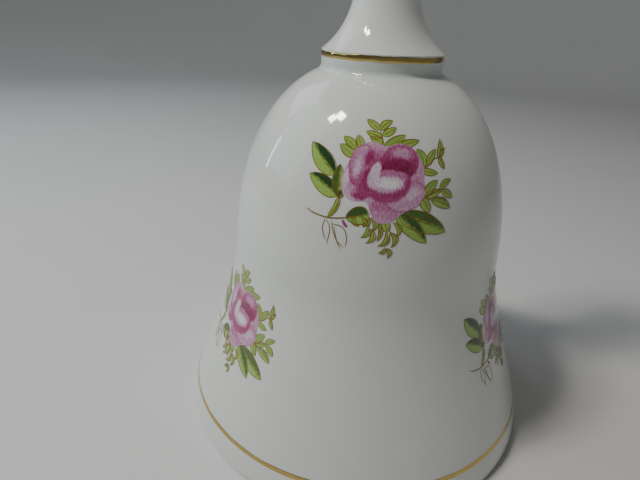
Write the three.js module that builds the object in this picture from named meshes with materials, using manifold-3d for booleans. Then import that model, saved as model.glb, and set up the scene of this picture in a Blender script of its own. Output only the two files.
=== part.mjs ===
// Porcelain table bell: a slip-cast bell body with a separately cast handle luted on at the neck,
// and a clapper ball hanging inside on an oval-link chain from a wire staple cemented in the crown.
// Millimetres, +Z up. The origin is the centre of the foot ring, on the surface the bell stands on.
import * as THREE from 'three';
import { mergeVertices } from 'three/addons/utils/BufferGeometryUtils.js';
import Module from 'manifold-3d';

const wasm = await Module();
wasm.setup();

// Bell body
const rimRadius = 32;
const footRounding = 0.6;
const wall = 2.6;
const waistRadius = 22.95;
const waistHeight = 32.5;
const waistLean = THREE.MathUtils.degToRad(2.8);
const rimPull = 5.5;
const waistPullBelow = 11.4;
const waistPullAbove = 11.3;
const shoulderPull = 10.8;
const shoulderSlope = THREE.MathUtils.degToRad(62.5);
const collarFillet = 1;
const collarRadius = 9.35;
const collarFoot = 61.3;
const seamHeight = 62.8;
const seamGap = 0.3;
const bodySides = 48;
const footChamfer = footRounding * 0.3;

// Handle
const handleFlareStart = 63.4;
const handleFlareLean = THREE.MathUtils.degToRad(52.5);
const handleWaistRadius = 4.45;
const handleWaistHeight = 76;
const gripRadius = 6.5;
const gripHeight = 95;
const knobNeckRadius = 3.7;
const knobRadius = 5.4;
const knobCentre = 112.3;
const handleFlarePull = 4.4;
const handleWaistPullBelow = 6.2;
const handleWaistPullAbove = 7;
const gripPullBelow = 8;
const gripPullAbove = 6;
const knobNeckPull = 4;
const handleHollowTop = 71;
const hollowTipRise = 1;
const mouthStep = 0.2;
const handleSides = 32;

// Hanging parts
const wire = 1;
const wireSides = 8;
const ringSteps = 20;
const stapleSteps = 32;
const linkLength = 7.4;
const linkWidth = 4.8;
const linkCount = 6;
const linkClearance = 0.1;
const stapleWidth = 4.4;
const stapleEye = 53.6;
const stapleTop = 64.5;
const cementBottom = 58.4;
const cementTop = 66.2;
const cementFlatShare = 0.7;
const cementEdgeShare = 0.93;
const cementEdgeRise = 0.5;
const cementWallRise = 1.6;
const legHoleRadius = 0.7;
const legHoleExit = 1;
const roundSides = 12;
const eyeWidth = 4.4;
const ballRadius = 6;
const ballCentre = 12.5;
const ballBoreRadius = 0.6;
const headRadius = 1.3;
const headThickness = 0.7;
const headTop = 6.35;
const headTaper = 0.75;
const headSides = 16;
const shankStart = 0.2;
const ballSides = 24;

const wireRadius = wire / 2;
const hookStep = wire + linkClearance;
const linkPitch = linkLength - wire - hookStep;

const porcelain = new THREE.MeshStandardMaterial({ color: 0xe9ece8, roughness: 0.12, metalness: 0 });
const cement = new THREE.MeshStandardMaterial({ color: 0xd8d4c8, roughness: 0.9, metalness: 0 });
const brass = new THREE.MeshStandardMaterial({ color: 0xc79a4a, roughness: 0.35, metalness: 1 });

const bell = new THREE.Group();

function addMesh(name, geometry, material) {
  const mesh = new THREE.Mesh(geometry, material);
  mesh.name = name;
  bell.add(mesh);
  return mesh;
}

// A point at the given distance from a start point, leaning in towards the axis by the given angle.
function leaning(start, angle, distance) {
  return new THREE.Vector2(start.x - Math.sin(angle) * distance, start.y + Math.cos(angle) * distance);
}

// Solid of revolution about Z from a profile of (radius, height) points in anticlockwise order.
function revolve(profile, sides) {
  return new THREE.LatheGeometry(profile, sides).rotateX(Math.PI / 2);
}

// The profile moved sideways to its left by the given distance.
function offsetProfile(points, distance) {
  return points.map((point, i) => {
    const before = points[Math.max(i - 1, 0)];
    const after = points[Math.min(i + 1, points.length - 1)];
    const along = after.clone().sub(before).normalize();
    return new THREE.Vector2(point.x - along.y * distance, point.y + along.x * distance);
  });
}

function toManifold(geometry) {
  const bare = geometry.clone();
  bare.deleteAttribute('normal');
  bare.deleteAttribute('uv');
  const merged = mergeVertices(bare, 1e-4);
  return new wasm.Manifold(new wasm.Mesh({
    numProp: 3,
    vertProperties: new Float32Array(merged.attributes.position.array),
    triVerts: new Uint32Array(merged.index.array),
  }));
}

function fromManifold(solid) {
  const mesh = solid.getMesh();
  const geometry = new THREE.BufferGeometry();
  geometry.setAttribute('position', new THREE.BufferAttribute(mesh.vertProperties, 3));
  geometry.setIndex(new THREE.BufferAttribute(mesh.triVerts, 1));
  return geometry;
}

// Outside of the bell from the rim up to the seam under the handle.
function bodyOutline() {
  const rim = new THREE.Vector2(rimRadius, footRounding);
  const waist = new THREE.Vector2(waistRadius, waistHeight);
  const filletCentre = new THREE.Vector2(collarRadius + collarFillet, collarFoot);
  const shoulder = new THREE.Vector2(
    filletCentre.x - collarFillet * Math.cos(shoulderSlope),
    filletCentre.y - collarFillet * Math.sin(shoulderSlope),
  );
  const rimHandle = leaning(rim, 0, rimPull);
  const waistBelow = leaning(waist, waistLean, -waistPullBelow);
  const waistAbove = leaning(waist, waistLean, waistPullAbove);
  const shoulderBelow = leaning(shoulder, shoulderSlope, -shoulderPull);
  const flare = new THREE.CubicBezierCurve(rim, rimHandle, waistBelow, waist);
  const dome = new THREE.CubicBezierCurve(waist, waistAbove, shoulderBelow, shoulder);
  const fillet = new THREE.EllipseCurve(
    filletCentre.x, filletCentre.y, collarFillet, collarFillet, Math.PI + shoulderSlope, Math.PI, true,
  );
  return [
    ...flare.getSpacedPoints(9),
    ...dome.getSpacedPoints(11).slice(1),
    ...fillet.getPoints(3).slice(1),
    new THREE.Vector2(collarRadius, seamHeight - seamGap / 2),
  ];
}

// Outside of the handle from the seam up to the top of the knob.
function handleOutline() {
  const flareStart = new THREE.Vector2(collarRadius, handleFlareStart);
  const waist = new THREE.Vector2(handleWaistRadius, handleWaistHeight);
  const grip = new THREE.Vector2(gripRadius, gripHeight);
  const knobDrop = Math.sqrt(knobRadius ** 2 - knobNeckRadius ** 2);
  const neck = new THREE.Vector2(knobNeckRadius, knobCentre - knobDrop);
  const flare = new THREE.CubicBezierCurve(
    flareStart,
    leaning(flareStart, handleFlareLean, handleFlarePull),
    leaning(waist, 0, -handleWaistPullBelow),
    waist,
  );
  const swell = new THREE.CubicBezierCurve(
    waist,
    leaning(waist, 0, handleWaistPullAbove),
    leaning(grip, 0, -gripPullBelow),
    grip,
  );
  const taper = new THREE.CubicBezierCurve(
    grip,
    leaning(grip, 0, gripPullAbove),
    leaning(neck, 0, -knobNeckPull),
    neck,
  );
  const knobStart = Math.atan2(-knobDrop, knobNeckRadius);
  const knob = new THREE.EllipseCurve(0, knobCentre, knobRadius, knobRadius, knobStart, Math.PI / 2, false);
  return [
    new THREE.Vector2(collarRadius, seamHeight + seamGap / 2),
    ...flare.getSpacedPoints(7),
    ...swell.getSpacedPoints(6).slice(1),
    ...taper.getSpacedPoints(5).slice(1),
    ...knob.getPoints(9).slice(1, -1),
    new THREE.Vector2(0, knobCentre + knobRadius),
  ];
}

function bellBody() {
  const outside = bodyOutline();
  const inside = offsetProfile(outside, wall).reverse();
  inside[0].y = seamHeight - seamGap / 2;
  const innerFoot = rimRadius - wall;
  const profile = [
    new THREE.Vector2(rimRadius - footRounding, 0),
    new THREE.Vector2(rimRadius - footChamfer, footChamfer),
    ...outside,
    ...inside,
    new THREE.Vector2(innerFoot + footChamfer, footChamfer),
    new THREE.Vector2(innerFoot + footRounding, 0),
    new THREE.Vector2(rimRadius - footRounding, 0),
  ];
  addMesh('bell_body', revolve(profile, bodySides), porcelain);
}

// The inside of the handle's foot, the given distance in from its outline, from the seam up to a height.
function hollowOfHandle(outline, distance, top) {
  const mouth = new THREE.Vector2(collarRadius - distance, seamHeight + seamGap / 2);
  const above = offsetProfile(outline, distance).filter((point) => point.y > mouth.y + mouthStep && point.y < top);
  return [mouth, ...above];
}

function handle() {
  const outside = handleOutline();
  const inside = hollowOfHandle(outside, wall, handleHollowTop).reverse();
  const profile = [
    new THREE.Vector2(0, handleHollowTop + hollowTipRise),
    ...inside,
    ...outside,
  ];
  addMesh('handle', revolve(profile, handleSides), porcelain);
}

// Plug that fills the throat of the crown and holds the two legs of the staple.
function crownCement() {
  const inThroat = hollowOfHandle(handleOutline(), wall + seamGap, cementTop);
  const throatRadius = inThroat[0].x;
  const profile = [
    new THREE.Vector2(0, cementBottom),
    new THREE.Vector2(throatRadius * cementFlatShare, cementBottom),
    new THREE.Vector2(throatRadius * cementEdgeShare, cementBottom + cementEdgeRise),
    new THREE.Vector2(throatRadius, cementBottom + cementWallRise),
    ...inThroat,
    new THREE.Vector2(0, cementTop),
  ];
  let plug = toManifold(revolve(profile, handleSides));
  const holeLength = stapleTop + seamGap - cementBottom + legHoleExit;
  for (const side of [-1, 1]) {
    const hole = new THREE.CylinderGeometry(legHoleRadius, legHoleRadius, holeLength, roundSides);
    hole.rotateX(Math.PI / 2);
    hole.translate(side * (stapleWidth - wire) / 2, 0, stapleTop + seamGap - holeLength / 2);
    plug = plug.subtract(toManifold(hole));
  }
  addMesh('crown_cement', fromManifold(plug), cement);
}

function wireSection() {
  const section = new THREE.Shape();
  for (let i = 0; i < wireSides; i += 1) {
    const angle = (i + 0.5) * 2 * Math.PI / wireSides;
    const corner = [wireRadius * Math.cos(angle), wireRadius * Math.sin(angle)];
    if (i === 0) section.moveTo(...corner);
    else section.lineTo(...corner);
  }
  section.closePath();
  return section;
}

// U of wire, its round bottom hanging below the cement and its legs set in it.
function staple() {
  const bend = (stapleWidth - wire) / 2;
  const bendCentre = stapleEye + bend;
  class StapleCurve extends THREE.Curve {
    getPoint(t) {
      const leg = stapleTop - bendCentre;
      const arc = Math.PI * bend;
      const along = t * (2 * leg + arc);
      if (along < leg) return new THREE.Vector3(-bend, 0, stapleTop - along);
      if (along > leg + arc) return new THREE.Vector3(bend, 0, bendCentre + along - leg - arc);
      const angle = (along - leg) / bend;
      return new THREE.Vector3(-bend * Math.cos(angle), 0, bendCentre - bend * Math.sin(angle));
    }
  }
  const geometry = new THREE.ExtrudeGeometry(wireSection(), {
    steps: stapleSteps,
    bevelEnabled: false,
    extrudePath: new StapleCurve(),
  });
  addMesh('staple', geometry, brass);
}

// Closed wire ring drawn out along its length, lying in the XY plane.
function ovalRing(length, width) {
  const geometry = new THREE.TorusGeometry((width - wire) / 2, wireRadius, wireSides, ringSteps);
  const stretch = (length - width) / 2;
  const position = geometry.attributes.position;
  for (let i = 0; i < position.count; i += 1) {
    const y = position.getY(i);
    if (Math.abs(y) > wire / 4) position.setY(i, y + Math.sign(y) * stretch);
  }
  return geometry;
}

function chain() {
  for (let i = 0; i < linkCount; i += 1) {
    const link = addMesh(`chain_link_${i + 1}`, ovalRing(linkLength, linkWidth), brass);
    const hook = stapleEye - i * linkPitch;
    link.position.z = hook + hookStep - (linkLength - wire) / 2;
    link.rotation.set(Math.PI / 2, i % 2 === 0 ? Math.PI / 2 : 0, 0, 'XYZ');
  }
}

// Round eye, shank and riveted head in one piece of wire.
function clapperPin() {
  const hook = stapleEye - linkCount * linkPitch;
  const eyeRadius = (eyeWidth - wire) / 2;
  const eyeCentre = hook + hookStep - eyeRadius;
  const shankTop = eyeCentre - eyeRadius;
  const headBottom = headTop - headThickness;
  const eye = ovalRing(eyeWidth, eyeWidth).rotateX(Math.PI / 2).rotateZ(Math.PI / 2);
  eye.translate(0, 0, eyeCentre);
  const shank = new THREE.CylinderGeometry(wireRadius, wireRadius, shankTop - headBottom - shankStart, roundSides);
  shank.rotateX(Math.PI / 2).translate(0, 0, (shankTop + headBottom + shankStart) / 2);
  const head = new THREE.CylinderGeometry(headRadius, headRadius * headTaper, headThickness, headSides);
  head.rotateX(Math.PI / 2).translate(0, 0, headBottom + headThickness / 2);
  const pin = toManifold(eye).add(toManifold(shank)).add(toManifold(head));
  addMesh('clapper_pin', fromManifold(pin), brass);
}

function clapperBall() {
  const edge = Math.asin(ballBoreRadius / ballRadius);
  const surface = new THREE.EllipseCurve(
    0, ballCentre, ballRadius, ballRadius, edge - Math.PI / 2, Math.PI / 2 - edge, false,
  ).getPoints(14);
  addMesh('clapper_ball', revolve([...surface, surface[0].clone()], ballSides), porcelain);
}

bellBody();
handle();
crownCement();
staple();
chain();
clapperPin();
clapperBall();

export default bell;
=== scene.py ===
import bisect
import math
import bmesh
import bpy
from mathutils import Matrix, Vector, noise


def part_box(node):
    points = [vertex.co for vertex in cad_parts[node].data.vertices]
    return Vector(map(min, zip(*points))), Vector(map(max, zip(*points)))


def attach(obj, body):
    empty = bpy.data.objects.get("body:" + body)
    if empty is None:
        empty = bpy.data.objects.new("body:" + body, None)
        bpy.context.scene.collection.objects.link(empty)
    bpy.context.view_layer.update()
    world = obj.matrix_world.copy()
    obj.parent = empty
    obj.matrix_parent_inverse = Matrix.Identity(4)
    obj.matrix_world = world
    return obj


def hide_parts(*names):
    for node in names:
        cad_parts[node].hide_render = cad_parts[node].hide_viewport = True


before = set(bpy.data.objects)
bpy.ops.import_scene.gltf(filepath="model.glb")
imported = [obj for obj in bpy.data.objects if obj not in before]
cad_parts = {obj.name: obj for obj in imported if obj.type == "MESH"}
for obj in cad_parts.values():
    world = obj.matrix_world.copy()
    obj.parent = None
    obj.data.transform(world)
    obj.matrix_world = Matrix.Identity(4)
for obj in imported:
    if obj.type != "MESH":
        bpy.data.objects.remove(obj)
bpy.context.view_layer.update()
mm = 0.001
sharpAngle = 40  # degrees between faces from which an edge stays crisp
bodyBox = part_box("bell_body")
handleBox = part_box("handle")
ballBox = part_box("clapper_ball")

# Outlines of the glazed body and the handle, in millimetres and degrees
bellShape = {
    "rimRadius": bodyBox[1][0] / mm,
    "footRounding": 0.6,
    "wall": 2.6,
    "rimPull": 5.5,
    "waistRadius": 22.95,
    "waistHeight": 32.5,
    "waistLean": 2.8,
    "waistPullBelow": 11.4,
    "waistPullAbove": 11.3,
    "shoulderPull": 10.8,
    "shoulderSlope": 62.5,
    "collarFillet": 1.0,
    "collarRadius": 9.35,
    "collarFoot": 61.3,
    "collarStep": 0.7,
    "seamStep": 0.2,
    "seam": (bodyBox[1][2] + handleBox[0][2]) / 2 / mm,
    "groundDepth": 0.05,
    "spinSteps": 192,
}
handleShape = {
    "flareStart": 63.4,
    "flareLean": 52.5,
    "flarePull": 4.4,
    "waistRadius": 4.45,
    "waistHeight": 76.0,
    "waistPullBelow": 6.2,
    "waistPullAbove": 7,
    "gripRadius": 6.5,
    "gripHeight": 95.0,
    "gripPullBelow": 8,
    "gripPullAbove": 6,
    "neckRadius": 3.7,
    "neckPull": 4,
    "knobRadius": 5.4,
    "top": handleBox[1][2] / mm,
    "hollowTop": 71.0,
    "hollowShoulder": (0.6, 0.7, 1),
    "spinSteps": 128,
}


def bezier(start, pullStart, pullEnd, end, steps):
    points = []
    for i in range(steps + 1):
        t = i / steps
        point = start * (1 - t) ** 3 + pullStart * (3 * t * (1 - t) ** 2)
        points.append(point + pullEnd * (3 * t * t * (1 - t)) + end * t ** 3)
    return points


def arc(centre, radius, fromDegrees, toDegrees, steps):
    sweep = toDegrees - fromDegrees
    angles = [math.radians(fromDegrees + sweep * i / steps) for i in range(steps + 1)]
    return [centre + radius * Vector((math.cos(a), math.sin(a))) for a in angles]


def leaning(point, degrees, distance):
    lean = math.radians(degrees)
    return point + distance * Vector((-math.sin(lean), math.cos(lean)))


def offsetOutline(points, distance):
    moved = []
    for i, point in enumerate(points):
        along = (points[min(i + 1, len(points) - 1)] - points[max(i - 1, 0)]).normalized()
        moved.append(point + distance * Vector((-along.y, along.x)))
    return moved


def bodyOutside():
    s = bellShape
    rim = Vector((s["rimRadius"], s["footRounding"]))
    waist = Vector((s["waistRadius"], s["waistHeight"]))
    filletCentre = Vector((s["collarRadius"] + s["collarFillet"], s["collarFoot"]))
    fillet = arc(filletCentre, s["collarFillet"], 180 + s["shoulderSlope"], 180, 10)
    waistBelow = leaning(waist, s["waistLean"], -s["waistPullBelow"])
    flare = bezier(rim, leaning(rim, 0, s["rimPull"]), waistBelow, waist, 44)
    dome = bezier(
        waist,
        leaning(waist, s["waistLean"], s["waistPullAbove"]),
        leaning(fillet[0], s["shoulderSlope"], -s["shoulderPull"]),
        fillet[0],
        48,
    )
    collar = [Vector((s["collarRadius"], z)) for z in (s["seam"] - s["collarStep"], s["seam"])]
    return flare + dome[1:] + fillet[1:] + collar


def handleOutside():
    s = handleShape
    start = Vector((bellShape["collarRadius"], s["flareStart"]))
    waist = Vector((s["waistRadius"], s["waistHeight"]))
    grip = Vector((s["gripRadius"], s["gripHeight"]))
    knobCentre = Vector((0, s["top"] - s["knobRadius"]))
    knobDrop = math.sqrt(s["knobRadius"] ** 2 - s["neckRadius"] ** 2)
    neck = Vector((s["neckRadius"], knobCentre.y - knobDrop))
    flareTop = leaning(start, s["flareLean"], s["flarePull"])
    waistBelow, waistAbove = (leaning(waist, 0, d) for d in (-s["waistPullBelow"], s["waistPullAbove"]))
    gripBelow, gripAbove = (leaning(grip, 0, d) for d in (-s["gripPullBelow"], s["gripPullAbove"]))
    flare = bezier(start, flareTop, waistBelow, waist, 26)
    swell = bezier(waist, waistAbove, gripBelow, grip, 22)
    taper = bezier(grip, gripAbove, leaning(neck, 0, -s["neckPull"]), neck, 18)
    knobStart = math.degrees(math.atan2(-knobDrop, s["neckRadius"]))
    knob = arc(knobCentre, s["knobRadius"], knobStart, 90, 30)
    foot = Vector((bellShape["collarRadius"], bellShape["seam"]))
    return [foot] + flare + swell[1:] + taper[1:] + knob[1:]


# Merges, turns faces outwards, goes from millimetres to metres and hangs the piece on its body
def finishMesh(bm, name, material, body, replaced=()):
    bmesh.ops.remove_doubles(bm, verts=bm.verts, dist=1e-4)
    bmesh.ops.dissolve_degenerate(bm, edges=bm.edges, dist=1e-5)
    bmesh.ops.recalc_face_normals(bm, faces=bm.faces)
    bmesh.ops.scale(bm, vec=(mm, mm, mm), verts=bm.verts)
    for face in bm.faces:
        face.smooth = True
    mesh = bpy.data.meshes.new(name)
    bm.to_mesh(mesh)
    bm.free()
    mesh.set_sharp_from_angle(angle=math.radians(sharpAngle))
    piece = bpy.data.objects.new(name, mesh)
    bpy.context.scene.collection.objects.link(piece)
    mesh.materials.append(material)
    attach(piece, body)
    if replaced:
        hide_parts(*replaced)
    return piece


def spinProfile(bm, profile, steps, closed=False):
    verts = [bm.verts.new((p.x, 0, p.y)) for p in profile]
    edges = [bm.edges.new(pair) for pair in zip(verts, verts[1:])]
    if closed:
        edges.append(bm.edges.new((verts[-1], verts[0])))
    around = {"cent": (0, 0, 0), "axis": (0, 0, 1), "angle": 2 * math.pi}
    bmesh.ops.spin(bm, geom=verts + edges, **around, steps=steps, use_merge=True)


def linear(hexColour):
    values = [int(hexColour[i:i + 2], 16) / 255 for i in (1, 3, 5)]
    return tuple(v / 12.92 if v <= 0.04045 else ((v + 0.055) / 1.055) ** 2.4 for v in values) + (1,)


def addNode(tree, kind, sockets=None, **settings):
    node = tree.nodes.new(kind)
    for name, value in settings.items():
        setattr(node, name, value)
    for key, value in (sockets or {}).items():
        if isinstance(value, bpy.types.NodeSocket):
            tree.links.new(value, node.inputs[key])
        else:
            node.inputs[key].default_value = value
    return node


def newMaterial(name):
    material = bpy.data.materials.new(name)
    material.use_nodes = True
    tree = material.node_tree
    return material, tree, tree.nodes["Principled BSDF"]


# High-fired glazed porcelain: white body under a clear, slightly wavy, mirror-smooth glaze
def glazedPorcelain():
    material, tree, shader = newMaterial("glazedPorcelain")
    look = {
        "body": "#EDEFEB",
        "pooled": "#DCE4E0",
        "speck": "#5B4636",
        "waveSize": 9.0,
        "speckSpacing": 7.0,
        "speckRadius": 0.13,
        "rareness": 0.93,
        "poolReach": (0.2, 2.2),
        "gloss": 0.07,
        "translucency": 0.12,
    }
    place = addNode(tree, "ShaderNodeTexCoord").outputs["Object"]
    waves = 1 / (look["waveSize"] * mm)
    cloud = addNode(tree, "ShaderNodeTexNoise", {"Vector": place, "Scale": waves, "Detail": 2.0})
    height = addNode(tree, "ShaderNodeSeparateXYZ", {"Vector": place}).outputs["Z"]
    collarZ = bellShape["collarFoot"] * mm
    fromCollar = addNode(tree, "ShaderNodeMath", {0: height, 1: collarZ}, operation="SUBTRACT")
    fromCollar = addNode(tree, "ShaderNodeMath", {0: fromCollar.outputs[0]}, operation="ABSOLUTE")
    near, far = (reach * mm for reach in look["poolReach"])
    pooled = addNode(tree, "ShaderNodeMapRange", {0: fromCollar.outputs[0], 1: near, 2: far, 3: 1.0, 4: 0.0})
    depth = addNode(tree, "ShaderNodeMath", {0: cloud.outputs[0], 1: 0.25}, operation="MULTIPLY")
    depth = addNode(tree, "ShaderNodeMath", {0: depth.outputs[0], 1: pooled.outputs[0]}, operation="MAXIMUM")
    white = addNode(
        tree,
        "ShaderNodeMix",
        {0: depth.outputs[0], 6: linear(look["body"]), 7: linear(look["pooled"])},
        data_type="RGBA",
    )
    cells = addNode(tree, "ShaderNodeTexVoronoi", {"Vector": place, "Scale": 1 / (look["speckSpacing"] * mm)})
    speckSize = look["speckRadius"] / look["speckSpacing"]
    spot = addNode(
        tree,
        "ShaderNodeMapRange",
        {0: cells.outputs["Distance"], 1: speckSize * 0.6, 2: speckSize * 1.4, 3: 1.0, 4: 0.0},
    )
    chance = addNode(tree, "ShaderNodeSeparateColor", {0: cells.outputs["Color"]}).outputs[0]
    few = addNode(tree, "ShaderNodeMath", {0: chance, 1: look["rareness"]}, operation="GREATER_THAN")
    speck = addNode(tree, "ShaderNodeMath", {0: spot.outputs[0], 1: few.outputs[0]}, operation="MULTIPLY")
    colour = addNode(
        tree,
        "ShaderNodeMix",
        {0: speck.outputs[0], 6: white.outputs[2], 7: linear(look["speck"])},
        data_type="RGBA",
    )
    tree.links.new(colour.outputs[2], shader.inputs["Base Color"])
    ripple = {"Height": cloud.outputs[0], "Strength": 0.35, "Distance": 0.05 * mm}
    bump = addNode(tree, "ShaderNodeBump", ripple)
    tree.links.new(bump.outputs[0], shader.inputs["Normal"])
    shader.inputs["Roughness"].default_value = look["gloss"]
    shader.inputs["IOR"].default_value = 1.52
    shader.inputs["Subsurface Weight"].default_value = look["translucency"]
    shader.inputs["Subsurface Radius"].default_value = (1.0, 0.85, 0.7)
    shader.inputs["Subsurface Scale"].default_value = 0.8 * mm
    return material


# Bisque: the same body left bare and ground flat where the bell stands, so it is matt and faintly dirty
def groundBisque():
    material, tree, shader = newMaterial("groundBisque")
    look = {"clean": "#E6E0D4", "dirty": "#B9AE9C", "gritSize": 0.25, "dirtSize": 4, "roughness": 0.75}
    place = addNode(tree, "ShaderNodeTexCoord").outputs["Object"]
    gritScale, dirtScale = (1 / (look[size] * mm) for size in ("gritSize", "dirtSize"))
    grit = addNode(tree, "ShaderNodeTexNoise", {"Vector": place, "Scale": gritScale, "Detail": 5.0})
    dirt = addNode(tree, "ShaderNodeTexNoise", {"Vector": place, "Scale": dirtScale, "Detail": 3.0})
    stain = addNode(tree, "ShaderNodeMapRange", {0: dirt.outputs[0], 1: 0.45, 2: 0.75})
    colour = addNode(
        tree,
        "ShaderNodeMix",
        {0: stain.outputs[0], 6: linear(look["clean"]), 7: linear(look["dirty"])},
        data_type="RGBA",
    )
    tree.links.new(colour.outputs[2], shader.inputs["Base Color"])
    grain = {"Height": grit.outputs[0], "Strength": 0.5, "Distance": 0.04 * mm}
    bump = addNode(tree, "ShaderNodeBump", grain)
    tree.links.new(bump.outputs[0], shader.inputs["Normal"])
    shader.inputs["Roughness"].default_value = look["roughness"]
    shader.inputs["IOR"].default_value = 1.5
    return material


# Liquid bright gold, brushed on and fired: a mirror film with faint brush streaks and rubbed spots
def brightGold():
    material, tree, shader = newMaterial("brightGold")
    look = {
        "gold": "#E0C880",
        "thin": "#A98C4A",
        "worn": "#5A4326",
        "wornSpacing": 11.0,
        "wornFrom": (0.69, 0.73),
        "streakSize": 2.2,
        "brush": 0.3,
        "roughness": (0.03, 0.11),
    }
    place = addNode(tree, "ShaderNodeTexCoord").outputs["Object"]
    flattened = addNode(tree, "ShaderNodeMapping", {0: place, 3: (1, 1, 9)}).outputs[0]
    streaks = 1 / (look["streakSize"] * mm)
    streak = addNode(tree, "ShaderNodeTexNoise", {"Vector": flattened, "Scale": streaks, "Detail": 4.0})
    colour = addNode(
        tree,
        "ShaderNodeMix",
        {0: streak.outputs[0], 6: linear(look["gold"]), 7: linear(look["thin"])},
        data_type="RGBA",
    )
    patches = 1 / (look["wornSpacing"] * mm)
    patch = addNode(tree, "ShaderNodeTexNoise", {"Vector": place, "Scale": patches, "Detail": 6.0})
    start, full = look["wornFrom"]
    worn = addNode(tree, "ShaderNodeMapRange", {0: patch.outputs[0], 1: start, 2: full})
    colour = addNode(
        tree,
        "ShaderNodeMix",
        {0: worn.outputs[0], 6: colour.outputs[2], 7: linear(look["worn"])},
        data_type="RGBA",
    )
    tree.links.new(colour.outputs[2], shader.inputs["Base Color"])
    metal = addNode(tree, "ShaderNodeMath", {0: 1.0, 1: worn.outputs[0]}, operation="SUBTRACT")
    tree.links.new(metal.outputs[0], shader.inputs["Metallic"])
    smooth, rubbed = look["roughness"]
    rough = addNode(tree, "ShaderNodeMapRange", {0: streak.outputs[0], 3: smooth, 4: rubbed})
    tree.links.new(rough.outputs[0], shader.inputs["Roughness"])
    brushed = {"Height": streak.outputs[0], "Strength": look["brush"], "Distance": 0.02 * mm}
    bump = addNode(tree, "ShaderNodeBump", brushed)
    tree.links.new(bump.outputs[0], shader.inputs["Normal"])
    return material


# Drawn brass wire: fine lines along the draw, dulled to brown in scattered patches
def drawnBrass():
    material, tree, shader = newMaterial("drawnBrass")
    look = {
        "bright": "#D2A35A",
        "dull": "#7B5730",
        "tarnishSize": 1.6,
        "lineSize": 0.12,
        "roughness": (0.2, 0.5),
    }
    place = addNode(tree, "ShaderNodeTexCoord").outputs["Object"]
    tarnishScale, lineScale = (1 / (look[size] * mm) for size in ("tarnishSize", "lineSize"))
    tarnish = addNode(tree, "ShaderNodeTexNoise", {"Vector": place, "Scale": tarnishScale, "Detail": 6.0})
    dull = addNode(tree, "ShaderNodeMapRange", {0: tarnish.outputs[0], 1: 0.42, 2: 0.68})
    colour = addNode(
        tree,
        "ShaderNodeMix",
        {0: dull.outputs[0], 6: linear(look["bright"]), 7: linear(look["dull"])},
        data_type="RGBA",
    )
    tree.links.new(colour.outputs[2], shader.inputs["Base Color"])
    polished, tarnished = look["roughness"]
    rough = addNode(tree, "ShaderNodeMapRange", {0: dull.outputs[0], 3: polished, 4: tarnished})
    tree.links.new(rough.outputs[0], shader.inputs["Roughness"])
    drawn = addNode(tree, "ShaderNodeMapping", {0: place, 3: (1, 1, 0.12)}).outputs[0]
    lines = addNode(tree, "ShaderNodeTexNoise", {"Vector": drawn, "Scale": lineScale, "Detail": 2.0})
    grooves = {"Height": lines.outputs[0], "Strength": 0.3, "Distance": 0.01 * mm}
    bump = addNode(tree, "ShaderNodeBump", grooves)
    tree.links.new(bump.outputs[0], shader.inputs["Normal"])
    shader.inputs["Metallic"].default_value = 1.0
    return material


# Plaster cement, poured and wiped: chalky and pitted, with greyer clouds
def plasterCement():
    material, tree, shader = newMaterial("plasterCement")
    look = {"dry": "#E2DDCF", "stained": "#B4AC9A", "cloudSize": 3, "pitSpacing": 0.7, "roughness": 0.88}
    place = addNode(tree, "ShaderNodeTexCoord").outputs["Object"]
    cloudScale, pitScale = (1 / (look[size] * mm) for size in ("cloudSize", "pitSpacing"))
    clouds = addNode(tree, "ShaderNodeTexNoise", {"Vector": place, "Scale": cloudScale, "Detail": 6.0})
    colour = addNode(
        tree,
        "ShaderNodeMix",
        {0: clouds.outputs[0], 6: linear(look["dry"]), 7: linear(look["stained"])},
        data_type="RGBA",
    )
    tree.links.new(colour.outputs[2], shader.inputs["Base Color"])
    pits = addNode(tree, "ShaderNodeTexVoronoi", {"Vector": place, "Scale": pitScale})
    rim = addNode(tree, "ShaderNodeMapRange", {0: pits.outputs["Distance"], 1: 0.0, 2: 0.3})
    pitted = {"Height": rim.outputs[0], "Strength": 0.6, "Distance": 0.12 * mm}
    bump = addNode(tree, "ShaderNodeBump", pitted)
    tree.links.new(bump.outputs[0], shader.inputs["Normal"])
    shader.inputs["Roughness"].default_value = look["roughness"]
    shader.inputs["IOR"].default_value = 1.5
    return material


# Fired on-glaze transfer colours: thin ceramic enamel, nearly as glossy as the glaze round it.
# A print's mesh carries flat (mm on the transfer sheet), edge (mm in from its outline), tone and side.
enamel = {"grain": 0.12, "roughness": 0.16, "coat": 0.4, "coatRoughness": 0.07}


def finishPrint(tree, shader, colour, grain):
    tree.links.new(colour, shader.inputs["Base Color"])
    raised = {"Height": grain, "Strength": enamel["grain"], "Distance": 0.01 * mm}
    bump = addNode(tree, "ShaderNodeBump", raised)
    tree.links.new(bump.outputs[0], shader.inputs["Normal"])
    shader.inputs["Roughness"].default_value = enamel["roughness"]
    shader.inputs["IOR"].default_value = 1.52
    shader.inputs["Coat Weight"].default_value = enamel["coat"]
    shader.inputs["Coat Roughness"].default_value = enamel["coatRoughness"]


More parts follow.
